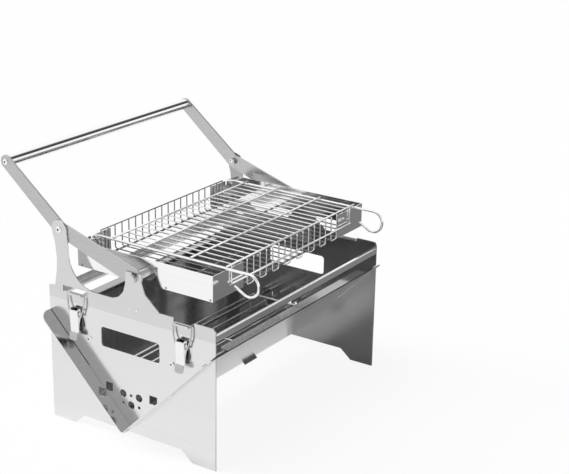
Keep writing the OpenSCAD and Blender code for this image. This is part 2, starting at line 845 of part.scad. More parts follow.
pin_z = panel_h - latch_drop;
bail_in = 0.8;
base_w = latch_w + 3;
base_h = 34;
ear_gap = slip;
latch_ear_r = latch_pin_d * 0.9;
bail_hole = [bail_in, -bail_throw];
bail_bar = [latch_out - keeper_out / 2, keeper_z + bail_d / 2 + 2 * fit - pin_z];
flange_y = latch_w / 2 - latch_t;
lever_r = 4.2;
lever_kick = 3;

// Left end at y, or its mirror image at the right end
module latch_at(side, y)
    place() mirror([side > 0 ? 1 : 0, 0, 0]) translate([-half_l - latch_out, y, pin_z]) children();

// Drawing in x and z with width w, centred on y
module xz_sheet(y0, y1) translate([0, y1, 0]) rotate([90, 0, 0]) linear_extrude(y1 - y0) children();

module latch_base() {
    translate([latch_out - latch_t, -base_w / 2, latch_ear_r - base_h])
        cube([latch_t, base_w, base_h]);
    for (s = [-1, 1])
        translate([0, s * (flange_y - ear_gap - latch_t / 2), 0])
            xz_sheet(-latch_t / 2, latch_t / 2)
                polygon(concat(arc([0, 0], latch_ear_r, 90, 270, 10),
                    [[latch_out - latch_t + fit, -latch_ear_r], [latch_out - latch_t + fit, latch_ear_r]]));
    translate([0, latch_w / 2, 0]) rotate([90, 0, 0])
        cylinder(h = latch_w, d = latch_pin_d, $fn = round_fn);
}

module latch_bases()
    color("darkgray")
    for (side = [-1, 1], s = [-1, 1])
        latch_at(side, s * latch_y) latch_base();

// Lever: a face with two flanges that carry the pin and the bail
lever_face_x = -lever_r + latch_t;
lever_profile = [
    [-lever_r * 0.95, lever_r * 0.38], [-lever_r, -bail_throw],
    [-lever_r - lever_kick / 2, -latch_l * 0.85], [-lever_r - lever_kick, -latch_l],
    [lever_face_x - lever_kick, -latch_l], [lever_face_x - lever_kick / 2, -latch_l * 0.85],
    [lever_face_x, -bail_throw], [lever_face_x, lever_r * 0.38]
];
flange_l = 20;
lever_flange = concat(
    arc([0, 0], lever_r, 0, 130, 10),
    [[-lever_r, -latch_t], [-lever_r, -bail_throw], [-lever_r - lever_kick * 0.3, -flange_l],
     [lever_face_x - lever_kick * 0.3, -flange_l], [bail_in + bail_d, -bail_throw - bail_d],
     [lever_r, -bail_throw + bail_d / 2]]);

module latch_lever()
    color("whitesmoke")
    difference() {
        union() {
            xz_sheet(-latch_w / 2, latch_w / 2) polygon(lever_profile);
            for (s = [-1, 1])
                translate([0, s * (latch_w / 2 - latch_t / 2), 0])
                    xz_sheet(-latch_t / 2, latch_t / 2) polygon(lever_flange);
        }
        translate([0, latch_w, 0]) rotate([90, 0, 0])
            cylinder(h = 2 * latch_w, d = latch_pin_d + 2 * fit, $fn = round_fn);
        translate([bail_hole[0], latch_w, bail_hole[1]]) rotate([90, 0, 0])
            cylinder(h = 2 * latch_w, d = bail_d + 2 * fit, $fn = round_fn);
    }

// Bail: a wire bow that hooks over the keeper, its two ends turned into the lever
bail_end_y = latch_w / 2 + cut + bail_d / 2;
bail_in_y = flange_y - latch_t / 4;

bail_lean = atan2(bail_bar[0] - bail_hole[0], bail_bar[1] - bail_hole[1]);
bail_l = norm(bail_bar - bail_hole);
bail_corner_r = (bail_w - keeper_w) / 2 - slip;
bail_corner = [bail_w / 2 - bail_corner_r, bail_l - bail_corner_r];
// One side of the bow: share of the widening, share of the length
bow_shares = [[0, 0.03], [0.3, 0.2], [0.75, 0.4], [1, 0.62]];
bow_side = [for (s = bow_shares) [bail_end_y + s[0] * (bail_w / 2 - bail_end_y), s[1] * bail_l]];
bow_path = concat(
    [[bail_end_y, -bail_d * 0.4]], bow_side,
    arc(bail_corner, bail_corner_r, 0, 90, 4),
    arc([-bail_corner[0], bail_corner[1]], bail_corner_r, 90, 180, 4),
    [for (i = [len(bow_side) - 1:-1:0]) [-bow_side[i][0], bow_side[i][1]]],
    [[-bail_end_y, -bail_d * 0.4]]);

module latch_bail()
    color("lightgray")
    translate([bail_hole[0], 0, bail_hole[1]])
    union() {
        rotate([0, bail_lean, 0]) rotate([90, 0, 90]) flat_wire(bow_path, bail_d / 2);
        for (s = [0, 180])
            rotate([0, 0, s]) translate([0, bail_in_y, 0]) rotate([-90, 0, 0])
                cylinder(h = bail_end_y + bail_d * 0.4 - bail_in_y, d = bail_d, $fn = round_fn);
    }

module latch_lever_lf() latch_at(-1, -latch_y) latch_lever();
module latch_lever_lb() latch_at(-1, latch_y) latch_lever();
module latch_lever_rf() latch_at(1, -latch_y) latch_lever();
module latch_lever_rb() latch_at(1, latch_y) latch_lever();
module latch_bail_lf() latch_at(-1, -latch_y) latch_bail();
module latch_bail_lb() latch_at(-1, latch_y) latch_bail();
module latch_bail_rf() latch_at(1, -latch_y) latch_bail();
module latch_bail_rb() latch_at(1, latch_y) latch_bail();

end_panel_left();
end_panel_right();
trough_front();
trough_back();
charcoal_grate();
panel_bolts();
panel_nuts();
bracket_left();
bracket_right();
rail_front();
rail_rear();
frame_locators();
pivot_bolts();
pivot_washers();
pivot_nuts();
latch_bases();
arm_left();
arm_right();
grip_tube();
grip_plugs();
grip_screws();
cap_left();
cap_right();
axle_bolts();
axle_collars();
axle_nuts();
tray_grid();
tray_wall();
hinge_pins();
lid_grid();
lid_front();
lid_rod_left();
lid_rod_right();
latch_lever_lf();
latch_lever_lb();
latch_lever_rf();
latch_lever_rb();
latch_bail_lf();
latch_bail_lb();
latch_bail_rf();
latch_bail_rb();
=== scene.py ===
"""Looks of the portable charcoal grill: wires, latches, metal finishes, floor, light and camera.

Everything is in metres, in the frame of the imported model.
"""

import json
import math

import bmesh
import bpy
from mathutils import Matrix, Vector
from mathutils.geometry import tessellate_polygon

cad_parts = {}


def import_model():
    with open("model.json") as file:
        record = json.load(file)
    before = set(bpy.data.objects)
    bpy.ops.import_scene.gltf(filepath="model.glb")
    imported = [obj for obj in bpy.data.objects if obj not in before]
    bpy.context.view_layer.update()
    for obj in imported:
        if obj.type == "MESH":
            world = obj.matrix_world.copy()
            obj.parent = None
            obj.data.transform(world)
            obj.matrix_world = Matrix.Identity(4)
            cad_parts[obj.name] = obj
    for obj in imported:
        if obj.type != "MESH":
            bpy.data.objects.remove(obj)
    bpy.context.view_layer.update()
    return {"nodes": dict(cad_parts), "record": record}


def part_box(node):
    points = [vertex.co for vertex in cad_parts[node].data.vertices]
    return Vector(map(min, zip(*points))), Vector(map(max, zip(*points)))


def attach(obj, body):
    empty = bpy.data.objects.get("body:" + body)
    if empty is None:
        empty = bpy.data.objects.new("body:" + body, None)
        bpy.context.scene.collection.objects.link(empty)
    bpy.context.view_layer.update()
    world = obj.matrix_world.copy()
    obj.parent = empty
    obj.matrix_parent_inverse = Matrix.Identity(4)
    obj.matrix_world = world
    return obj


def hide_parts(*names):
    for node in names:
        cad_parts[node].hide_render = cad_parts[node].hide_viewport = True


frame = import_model()
record = frame["record"]

# Sizes of the wires and of what is bent from them
WIRE_R = 0.0015
GRID_R = 0.0010
ROD_R = 0.0020
GRATE_R = 0.0015
BAIL_R = 0.0012
WELD = 0.0004
CROSSING = WIRE_R + GRID_R - WELD
FIT = 0.00005
TRAY_WIRES = 22
TRAY_CROSS_WIRES = 4
FRONT_WIRES = 16
LID_CROSS_SHARES = (0.0, 0.302, 0.694, 0.99)
FRONT_MID_SHARE = 0.38
FRONT_END_PITCHES = 0.65
GRATE_LONG_RODS = 6
GRATE_EDGE_IN = 0.0085
GRATE_CROSS_IN = 0.037
LOOP_R = 0.0165
LOOP_TAIL = 0.017
BEND_R = 0.004
TUBE_SIDES = 12
# A rounded corner takes at most this share of each leg and has this many steps
CORNER_SHARE = 0.49
CORNER_STEPS = 4
# Domed end of a wire: height and inner radius, as shares of the radius of the wire
DOME_HEIGHT = 0.35
DOME_INNER = 0.7
# At a bend a wire widens by one over the cosine of half of the turn, taken as no less than this
BEND_COSINE = 0.7
# Side rod of the lid: its eye and its loop as (from, to, steps) in degrees, and the points between
# them as (distance from the hinge, drop)
EYE_TURN = (-200, 90, 16)
LOOP_TURN = (90, 300, 24)
ROD_LEAVES = ((0.006, 0.0003), (0.012, 0.0))

# Broken edges of the sheets: width, steps, the angle above which an edge is broken, the angle below
# which faces are joined first, and the distance at which corners are welded first
EDGE_BREAK = 0.0006
EDGE_STEPS = 2
EDGE_ANGLE = math.radians(40)
FLAT_ANGLE = math.radians(0.5)
CORNER_WELD = 1e-6

# Latch sizes: outer face of a lever as (distance outward of the pin, height above it, half width)
LEVER_FACE = (
    (0.0040, 0.0020, 0.0075), (0.0041, 0.0010, 0.0075), (0.0042, -0.0030, 0.0075),
    (0.0041, -0.0080, 0.0075), (0.0033, -0.0200, 0.0075), (0.0026, -0.0305, 0.0075),
    (0.0030, -0.0318, 0.0075), (0.0046, -0.0330, 0.0076), (0.0056, -0.0350, 0.0077),
    (0.0066, -0.0390, 0.0077), (0.0069, -0.0410, 0.0072), (0.0071, -0.0423, 0.0062),
    (0.0072, -0.0430, 0.0044),
)
# Across the face, as (share of the half width, how far it is rolled inward)
LEVER_ACROSS = ((-1.0, 0.0008), (-0.95, 0.0003), (-0.84, 0.0), (0.0, -0.0001), (0.84, 0.0),
                (0.95, 0.0003), (1.0, 0.0008))
LEVER_T = 0.0012
# How much narrower the inner side of the face is, and how deep in it the flanges begin, as a share
LEVER_INSIDE = 0.0001
FLANGE_IN_FACE = 0.4
LEVER_EAR_R = 0.0042
# Rounds in the outline of a flange as (from, to, steps) in degrees: its ears at the pin and at the
# bail hole, and its holes
EAR_TURN = (-10, 125, 12)
BAIL_EAR_TURN = (-60, 10, 6)
HOLE_TURN = (0, 337.5, 15)
# Inner edge of a lever's flange below its bail hole, as (distance inward of the pin, height)
FLANGE_EDGE = ((0.0016, -0.0140), (0.0000, -0.0190), (-0.0008, -0.0250), (-0.0012, -0.0300))
PIN_R = 0.0015
BAIL_HOLE = (0.0008, -0.0080)
BAIL_EAR_R = 0.0034
BAIL_BAR = (0.0034, 0.0263)
BAIL_HALF_W = 0.0155
BAIL_FOOT_Y = 0.0097
BAIL_INNER_Y = 0.0060
# One side of a bail: half of its width and the share of its length
BAIL_SIDE = ((0.0097, 0.06), (0.0116, 0.2), (0.0144, 0.4), (0.0155, 0.62))

# Screws: radius and height of the head, radius of the shank, whole length, radius of the socket
PANEL_SCREW = (0.0045, 0.0025, 0.0025, 0.0095, 0.0015)
GRIP_SCREW = (0.0045, 0.0025, 0.0025, 0.0225, 0.0016)
PIVOT_SCREW = (0.0051, 0.0024, 0.0030, 0.01285, 0.0019)
# Depth of the socket as a share of the height of the head
SOCKET_DEPTH = 0.8
SCREW_SIDES = 24

# The camera that took the photograph, fitted to the grill's edges
CAMERA_AZIMUTH = math.radians(-56.707)
CAMERA_ELEVATION = math.radians(19.636)
CAMERA_ROLL = math.radians(1.05)
CAMERA_DISTANCE = 2.1
CAMERA_TARGET = Vector((0.0369, -0.1169, 0.2623))
CAMERA_LENS = 88.89
SENSOR_W = 36.0
FARTHEST_SEEN = 60.0

# Studio: directions that look dark in the metal, each with its inner and outer radius in degrees,
# its level, and the height below which it fades out
DARK_SIDES = (
    ((0.787, -0.40, 0.44), 1, 32, 0.06, 0.30),
    ((-0.787, -0.34, 0.52), 10, 40, 0.45, 0.0),
)
DARK_FADE = 0.02
# Level of the light on what is not mirrored
AMBIENT = 0.30
# The floor as the metal sees it: bright, with a dark stretch in front on the right, which comes in
# and fades out over these distances
FLOOR_TONE = 0.9
FLOOR_DARK = 0.19
FLOOR_AXIS = (0.6, -0.8)
FLOOR_DARK_FROM = (0.22, 0.45)
FLOOR_DARK_TO = (2.0, 3.0)
# Share of plain white in the floor as the camera sees it
FLOOR_GLOW_SEEN = 0.9
FLOOR_HALF = 12.0
# Soft lights: name, direction, the angle in degrees that it fills, strength
LIGHTS = (
    ("overhead", (-0.3, 0.35, 1.0), 40.0, 1.6),
    ("low", (-0.35, 0.95, 0.62), 20.0, 1.7),
)

# Metal: how much the brushing is drawn out and its detail; scale, detail and reach of the slow
# change in gloss; distance of the bump
GRAIN_STRETCH = 0.012
GRAIN_DETAIL = 4.0
GLOSS_SCALE = 9.0
GLOSS_DETAIL = 2.0
GLOSS_LOW = 0.85
GLOSS_HIGH = 1.15
BUMP_DISTANCE = 0.0001
# Finishes: tone, roughness, axis of the brushing or None, scale of the grain in features per metre,
# spread of roughness, spread of tone, bump
FINISHES = {
    "brushed_sheet": (0.80, 0.18, "y", 420.0, 0.02, 0.015, 0.01),
    "mirror_sheet": (0.80, 0.12, "x", 300.0, 0.02, 0.015, 0.005),
    "plain_sheet": (0.95, 0.20, "x", 400.0, 0.03, 0.02, 0.01),
    "brushed_bar": (0.54, 0.28, "y", 420.0, 0.03, 0.02, 0.01),
    "polished_tube": (0.95, 0.08, "x", 300.0, 0.02, 0.02, 0.005),
    "bright_sheet": (0.96, 0.10, "y", 300.0, 0.02, 0.015, 0.01),
    "grate_wire": (0.85, 0.16, None, 300.0, 0.03, 0.02, 0.01),
    "chrome_wire": (0.95, 0.10, None, 200.0, 0.02, 0.01, 0.01),
    "fastener_steel": (0.70, 0.20, None, 500.0, 0.03, 0.02, 0.01),
    "latch_chrome": (0.92, 0.12, None, 200.0, 0.03, 0.01, 0.01),
    # painted_shade_wire: a dark tone painted on the tray wires for the shade between trough and lid
    "painted_shade_wire": (0.30, 0.16, None, 200.0, 0.02, 0.01, 0.01),
    "bail_wire": (0.55, 0.12, None, 200.0, 0.02, 0.01, 0.01),
    "lever_sheet": (0.93, 0.12, None, 200.0, 0.03, 0.01, 0.01),
    # latch_base: near black, painted for the shadow in the gaps round the levers and keepers
    "latch_base": (0.16, 0.25, None, 200.0, 0.03, 0.01, 0.01),
    "bracket_sheet": (0.70, 0.18, "y", 420.0, 0.02, 0.015, 0.01),
    # painted_shade_socket: near black, painted for the shade inside the screw sockets
    "painted_shade_socket": (0.04, 0.5, None, 500.0, 0.03, 0.01, 0.01),
}
# CAD nodes in another finish than the one that has the name of their slot
OWN_FINISH = {
    "latch_bases": "latch_base",
    "bracket_left": "bracket_sheet",
    "bracket_right": "bracket_sheet",
}
# Painted shade, darker tones for the shade that falls there: in the trough, within this distance of
# the middle and where a face looks up by more than this; on the inner sides of panels and brackets;
# and on the finger tabs, from this far below the pin down
TROUGH_PAINTED_SHADE = 0.40
TROUGH_HALF_L = 0.2155
LOOKS_UP = 0.3
PANEL_PAINTED_SHADE = 0.42
TAB_PAINTED_SHADE = 0.50
TAB_TOP = 0.0315


# Materials

class Shader:
    """A node material under construction."""

    def __init__(self, name):
        self.material = bpy.data.materials.new(name)
        self.material.use_nodes = True
        self.nodes = self.material.node_tree.nodes
        self.links = self.material.node_tree.links
        self.nodes.clear()
        self.output = self.nodes.new("ShaderNodeOutputMaterial")
        self.place = self.nodes.new("ShaderNodeTexCoord")

    def node(self, kind, **settings):
        made = self.nodes.new(kind)
        for key, value in settings.items():
            setattr(made, key, value)
        return made

    def join(self, out, into):
        self.links.new(out, into)

    def noise(self, scale, detail, stretch=(1.0, 1.0, 1.0)):
        """Noise in the row frame; scale is in features per metre."""
        mapping = self.node("ShaderNodeMapping")
        mapping.inputs["Scale"].default_value = stretch
        made = self.node("ShaderNodeTexNoise")
        made.inputs["Scale"].default_value = scale
        made.inputs["Detail"].default_value = detail
        self.join(self.place.outputs["Object"], mapping.inputs["Vector"])
        self.join(mapping.outputs["Vector"], made.inputs["Vector"])
        return made.outputs["Fac"]

    def span(self, value, low, high, start=0.3, end=0.7):
        """Maps a noise value from start..end to low..high."""
        made = self.node("ShaderNodeMapRange")
        made.inputs["From Min"].default_value = start
        made.inputs["From Max"].default_value = end
        made.inputs["To Min"].default_value = low
        made.inputs["To Max"].default_value = high
        self.join(value, made.inputs["Value"])
        return made.outputs["Result"]

    def mix_colour(self, factor, first, second):
        made = self.node("ShaderNodeMix", data_type="RGBA")
        made.inputs["A"].default_value = (*first, 1.0)
        made.inputs["B"].default_value = (*second, 1.0)
        self.join(factor, made.inputs["Factor"])
        return made.outputs["Result"]

    def maths(self, operation, first, second):
        """first is an output and second is an output or a number."""
        made = self.node("ShaderNodeMath", operation=operation)
        self.join(first, made.inputs[0])
        if isinstance(second, float):
            made.inputs[1].default_value = second
        else:
            self.join(second, made.inputs[1])
        return made.outputs[0]

    def facing(self, axis, least):
        """1 where the face looks along that axis by more than least."""
        turned = self.node("ShaderNodeSeparateXYZ")
        self.join(self.place.outputs["Normal"], turned.inputs["Vector"])
        return self.maths("GREATER_THAN", turned.outputs[axis], least)

    def place_on(self, axis):
        spot = self.node("ShaderNodeSeparateXYZ")
        self.join(self.place.outputs["Object"], spot.inputs["Vector"])
        return spot.outputs[axis]

    # Paints a darker tone, standing in for shade, where the mask is 1.
    def paint_shade(self, colour, mask, tone):
        made = self.node("ShaderNodeMix", data_type="RGBA")
        self.join(mask, made.inputs["Factor"])
        self.join(colour, made.inputs["A"])
        made.inputs["B"].default_value = (tone, tone, tone, 1.0)
        return made.outputs["Result"]

    def bump(self, height, strength, distance):
        made = self.node("ShaderNodeBump")
        made.inputs["Strength"].default_value = strength
        made.inputs["Distance"].default_value = distance
        self.join(height, made.inputs["Height"])
        return made.outputs["Normal"]


def steel(name, tone, roughness, grain, grain_scale, spread, tone_spread, bump, shade):
    """Bare metal. grain is the axis the brushing runs along, or None for an even finish.
    shade is None, or a mask and the darker tone of painted shade that the metal has where the mask
    is 1."""
    shader = Shader(name)
    metal = shader.node("ShaderNodeBsdfPrincipled")
    metal.inputs["Metallic"].default_value = 1.0
    stretch = (1.0, 1.0, 1.0)
    if grain is not None:
        stretch = tuple(GRAIN_STRETCH if axis == grain else 1.0 for axis in "xyz")
    fine = shader.noise(grain_scale, GRAIN_DETAIL, stretch)
    wide = shader.noise(GLOSS_SCALE, GLOSS_DETAIL)
    light = tuple(min(1.0, tone + tone_spread) for _ in range(3))
    dark = tuple(tone - tone_spread for _ in range(3))
    colour = shader.mix_colour(shader.span(fine, 0.0, 1.0), dark, light)
    if shade is not None:
        mask, painted_shade_tone = shade
        colour = shader.paint_shade(colour, mask(shader), painted_shade_tone)
    shader.join(colour, metal.inputs["Base Color"])
    rough = shader.node("ShaderNodeMath", operation="ADD")
    shader.join(shader.span(fine, -spread, spread), rough.inputs[0])
    gloss = shader.span(wide, roughness * GLOSS_LOW, roughness * GLOSS_HIGH)
    shader.join(gloss, rough.inputs[1])
    shader.join(rough.outputs[0], metal.inputs["Roughness"])
    shader.join(shader.bump(fine, bump, BUMP_DISTANCE), metal.inputs["Normal"])
    shader.join(metal.outputs["BSDF"], shader.output.inputs["Surface"])
    return shader.material


def trough_painted_shade_mask(shader):
    """Where shade is painted: the faces that look up between the end panels."""
    off_middle = shader.maths("ABSOLUTE", shader.place_on("X"), 0.0)
    between = shader.maths("LESS_THAN", off_middle, TROUGH_HALF_L)
    return shader.maths("MULTIPLY", shader.facing("Z", LOOKS_UP), between)


def panel_painted_shade_mask(shader):
    """Where shade is painted: the faces that look towards the middle of the grill."""
    towards = shader.node("ShaderNodeSeparateXYZ")
    shader.join(shader.place.outputs["Normal"], towards.inputs["Vector"])
    outward = shader.maths("MULTIPLY", towards.outputs["X"], shader.place_on("X"))
    return shader.maths("LESS_THAN", outward, 0.0)


def finger_tab_painted_shade_mask(shader):
    """Where shade is painted: the lower ends of the latch levers."""
    return shader.maths("LESS_THAN", shader.place_on("Z"), pin_height - TAB_TOP)


joint_at = {joint["name"]: Vector(joint["pos_m"]) for joint in record["behaviour"]["joints"]}
pin_height = joint_at["latch_lf"][2]

# Painted shade for each finish: the mask and the darker tone it paints
PAINTED_SHADES = {
    "brushed_sheet": (panel_painted_shade_mask, PANEL_PAINTED_SHADE),
    "mirror_sheet": (trough_painted_shade_mask, TROUGH_PAINTED_SHADE),
    "lever_sheet": (finger_tab_painted_shade_mask, TAB_PAINTED_SHADE),
    "bracket_sheet": (panel_painted_shade_mask, PANEL_PAINTED_SHADE),
}
MATERIALS = {name: steel(name, *finish, PAINTED_SHADES.get(name)) for name, finish in FINISHES.items()}

SLOT_OF = {part["node"]: part["material_slot"] for part in record["subparts"]}
for node_name, cad_node in frame["nodes"].items():
    for material_slot in cad_node.material_slots:
        material_slot.material = MATERIALS[OWN_FINISH.get(node_name, SLOT_OF[node_name])]

# Broken edges that catch the light
EDGED = [name for name, slot in SLOT_OF.items() if slot.endswith(("_sheet", "_bar"))]
for node_name in EDGED:
    welded = frame["nodes"][node_name].modifiers.new("weld", "WELD")
    welded.merge_threshold = CORNER_WELD
    flats = frame["nodes"][node_name].modifiers.new("flats", "DECIMATE")
    flats.decimate_type = "DISSOLVE"
    flats.angle_limit = FLAT_ANGLE
    edges = frame["nodes"][node_name].modifiers.new("edges", "BEVEL")
    edges.width = EDGE_BREAK
    edges.segments = EDGE_STEPS
    edges.limit_method = "ANGLE"
    edges.angle_limit = EDGE_ANGLE
    edges.harden_normals = True
    even = frame["nodes"][node_name].modifiers.new("even", "WEIGHTED_NORMAL")
    even.keep_sharp = True


# Mesh helpers

def new_piece(name, mesh_builder, nodes, body, smooth=True, finish=None, second_finish=None):
    """A mesh piece that stands for CAD nodes, in the finish of their slot or in one of its own."""
    data = bpy.data.meshes.new(name)
    work = bmesh.new()
    mesh_builder(work)
    bmesh.ops.recalc_face_normals(work, faces=work.faces)
    work.to_mesh(data)
    work.free()
    for polygon in data.polygons:
        polygon.use_smooth = smooth
    piece = bpy.data.objects.new(name, data)
    bpy.context.scene.collection.objects.link(piece)
    piece.data.materials.append(MATERIALS[finish or SLOT_OF[nodes[0]]])
    if second_finish is not None:
        piece.data.materials.append(MATERIALS[second_finish])
    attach(piece, body)
    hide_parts(*nodes)


def rounded(points, radius):
    """The path with its inner corners rounded."""
    points = [Vector(point) for point in points]
    path = [points[0]]
    for before, corner, after in zip(points, points[1:], points[2:]):
        back = before - corner
        ahead = after - corner
        reach = min(radius, back.length * CORNER_SHARE, ahead.length * CORNER_SHARE)
        start = corner + back.normalized() * reach
        end = corner + ahead.normalized() * reach
        for step in range(CORNER_STEPS + 1):
            share = step / CORNER_STEPS
            path.append((1 - share) ** 2 * start + 2 * share * (1 - share) * corner
                        + share ** 2 * end)
    path.append(points[-1])
    return path


def tube(work, points, radius):
    """Sweeps a round wire along the points, with domed ends."""
    points = [Vector(point) for point in points]
    steps = [(b - a).normalized() for a, b in zip(points, points[1:])]
    tangents = [steps[0]] + [(a + b).normalized() for a, b in zip(steps, steps[1:])] + [steps[-1]]
    side = tangents[0].orthogonal().normalized()
    rings = []
    for point, tangent, step in zip(points, tangents, steps + [steps[-1]]):
        side = (side - tangent * side.dot(tangent)).normalized()
        other = tangent.cross(side)
        stretch = 1.0 / max(BEND_COSINE, tangent.dot(step))
        ring = []
        for k in range(TUBE_SIDES):
            angle = math.tau * k / TUBE_SIDES
            spoke = side * math.cos(angle) + other * math.sin(angle)
            ring.append(work.verts.new(point + radius * stretch * spoke))
        rings.append(ring)
    for low, high in zip(rings, rings[1:]):
        for k in range(TUBE_SIDES):
            following = (k + 1) % TUBE_SIDES
            work.faces.new((low[k], low[following], high[following], high[k]))
    ends = ((rings[0], points[0], -steps[0]), (rings[-1], points[-1], steps[-1]))
    for ring, point, direction in ends:
        tip = point + direction * radius * DOME_HEIGHT
        small = [work.verts.new(tip + (v.co - point) * DOME_INNER) for v in ring]
        for k in range(TUBE_SIDES):
            following = (k + 1) % TUBE_SIDES
            work.faces.new((ring[k], ring[following], small[following], small[k]))
        work.faces.new(small)


def wires(name, nodes, body, paths, finish=None):
    """One piece of welded wires; paths is a list of (points, radius)."""
    def build(work):
        for points, radius in paths:
            tube(work, points, radius)
    new_piece(name, build, nodes, body, finish=finish)


def arc_yz(x, centre, radius, start, end, steps):
    """Points on an arc in the plane of that x; angles in degrees from +Y towards +Z."""
    path = []
    for step in range(steps + 1):
        angle = math.radians(start + (end - start) * step / steps)
        path.append((x, centre[0] + radius * math.cos(angle), centre[1] + radius * math.sin(angle)))
    return path


# Basket and lid, laid out from the boxes of their CAD nodes

def box_round(*nodes):
    """Lowest and highest corner of several nodes together."""
    boxes = [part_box(node) for node in nodes]
    return (Vector([min(low[axis] for low, high in boxes) for axis in range(3)]),
            Vector([max(high[axis] for low, high in boxes) for axis in range(3)]))


tray_low, tray_high = box_round("tray_grid", "tray_wall")
lid_low, lid_high = box_round("lid_grid", "lid_front")
rod_low, rod_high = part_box("lid_rod_left")
side_x = -(rod_low[0] + rod_high[0]) / 2
pitch = 2 * side_x / (TRAY_WIRES - 1)
hinge_y, hinge_z = joint_at["lid_hinge"][1:]


def wire_x(index):
    return index * pitch - side_x


def tray_paths():
    cross_z = tray_low[2] + WIRE_R
    wire_z = cross_z + CROSSING
    top_z = tray_high[2] - GRID_R
    front = tray_low[1]
    back = tray_high[1] - GRID_R
    first_cross = front + 2 * WIRE_R
    paths = []
    for index in (0, TRAY_WIRES - 1):
        paths.append(([(wire_x(index), front, wire_z), (wire_x(index), back, wire_z)], GRID_R))
    for index in range(1, TRAY_WIRES - 1):
        x = wire_x(index)
        bent = [(x, front, wire_z), (x, back, wire_z), (x, back, top_z)]
        paths.append((rounded(bent, BEND_R), GRID_R))
    paths.append(([(wire_x(1), back, top_z), (wire_x(TRAY_WIRES - 2), back, top_z)], GRID_R))
    for index in range(TRAY_CROSS_WIRES):
        y = first_cross + (hinge_y - first_cross) * index / (TRAY_CROSS_WIRES - 1)
        paths.append(([(tray_low[0], y, cross_z), (tray_high[0], y, cross_z)], WIRE_R))
    return paths


def lid_paths():
    cross_z = lid_high[2] - WIRE_R
    wire_z = cross_z - CROSSING
    bottom = lid_low[2] + GRID_R
    front = lid_low[1] + WIRE_R + CROSSING
    back = lid_high[1]
    wires_inside = TRAY_WIRES - 2
    first = (wires_inside - FRONT_WIRES) // 2 + 1
    last = first + FRONT_WIRES - 1
    mid_z = bottom + (rod_z - bottom) * FRONT_MID_SHARE
    paths = []
    for index in range(1, wires_inside + 1):
        if index < first or index > last:
            paths.append(([(wire_x(index), front, wire_z), (wire_x(index), back, wire_z)], GRID_R))
    for index in range(first, last, 2):
        a, b = wire_x(index), wire_x(index + 1)
        hairpin = [(a, back, wire_z), (a, front, wire_z), (a, front, bottom),
                   (b, front, bottom), (b, front, wire_z), (b, back, wire_z)]
        paths.append((rounded(hairpin, BEND_R), GRID_R))
    for share in LID_CROSS_SHARES:
        y = front + share * (back - front)
        paths.append(([(-side_x - WIRE_R, y, cross_z), (side_x + WIRE_R, y, cross_z)], WIRE_R))
    end_x = side_x - pitch * FRONT_END_PITCHES
    for side in (-1, 1):
        paths.append(([(side * end_x, front, mid_z), (side * end_x, front, cross_z)], GRID_R))
    mid_y = front - CROSSING
    paths.append(([(-end_x, mid_y, mid_z), (end_x, mid_y, mid_z)], WIRE_R))
    return paths


rod_z = rod_high[2] - ROD_R
loop_y = rod_low[1] + LOOP_R + ROD_R
loop_z = rod_z - LOOP_R


def lid_rod_path(x):
    """From the eye round its hinge pin, forward along the lid, round the finger loop."""
    eye_r = 2 * ROD_R + FIT
    eye = arc_yz(x, (hinge_y, hinge_z), eye_r, *EYE_TURN)
    loop = arc_yz(x, (loop_y, loop_z), LOOP_R, *LOOP_TURN)
    end = math.radians(LOOP_TURN[1])
    tail = Vector(loop[-1]) + LOOP_TAIL * Vector((0, -math.sin(end), math.cos(end)))
    straight = [(x, hinge_y - out, rod_z - drop) for out, drop in ROD_LEAVES]
    return eye + straight + loop + [tail]


# The tray wires take a dark tone that paints the shade they sit in.
wires("tray_wires", ["tray_grid", "tray_wall"], "basket", tray_paths(), "painted_shade_wire")
wires("lid_wires", ["lid_grid", "lid_front"], "lid", lid_paths())
wires("lid_side_rod_left", ["lid_rod_left"], "lid", [(lid_rod_path(-side_x), ROD_R)])
wires("lid_side_rod_right", ["lid_rod_right"], "lid", [(lid_rod_path(side_x), ROD_R)])


# Charcoal grate

def grate_paths():
    low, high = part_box("charcoal_grate")
    long_z = low[2] + GRATE_R
    cross_z = high[2] - GRATE_R
    middle = (low[1] + high[1]) / 2
    edge = (high[1] - low[1]) / 2 - GRATE_R
    gap = 2 * (edge - GRATE_EDGE_IN) / (GRATE_LONG_RODS - 1)
    paths = []
    for index in range(GRATE_LONG_RODS):
        y = middle + (index - (GRATE_LONG_RODS - 1) / 2) * gap
        paths.append(([(low[0], y, long_z), (high[0], y, long_z)], GRATE_R))
    for side in (-1, 1):
        y = middle + side * edge
        paths.append(([(low[0], y, cross_z), (high[0], y, cross_z)], GRATE_R))
    for x in (low[0] + GRATE_CROSS_IN, 0.0, high[0] - GRATE_CROSS_IN):
        paths.append(([(x, middle - edge, cross_z), (x, middle + edge, cross_z)], GRATE_R))
    return paths


wires("grate_rods", ["charcoal_grate"], "firebox", grate_paths())


# Latches, laid out at their pins: x inward, y along the panel, z up

def latch_place(pin):
    """Turns (inward, along, up) from that pin into a place in the model."""
    inward = -1.0 if pin[0] > 0 else 1.0
    return lambda x, y, z: Vector((pin[0] + inward * x, pin[1] + y, pin[2] + z))


def lever_sheet(work, at):
    """The pressed face of a lever with its finger tab, rolled over at both sides."""
    rows = []
    for out, up, half_w in LEVER_FACE:
        inner_w = half_w - LEVER_INSIDE
        outer = [work.verts.new(at(roll - out, share * half_w, up))
                 for share, roll in LEVER_ACROSS]
        inner = [work.verts.new(at(LEVER_T - out, share * inner_w, up))
                 for share, roll in LEVER_ACROSS]
        rows.append(outer + inner[::-1])
    for high, low in zip(rows, rows[1:]):
        for k in range(len(high)):
            following = (k + 1) % len(high)
            work.faces.new((high[k], high[following], low[following], low[k]))
    work.faces.new(rows[0])
    work.faces.new(rows[-1])


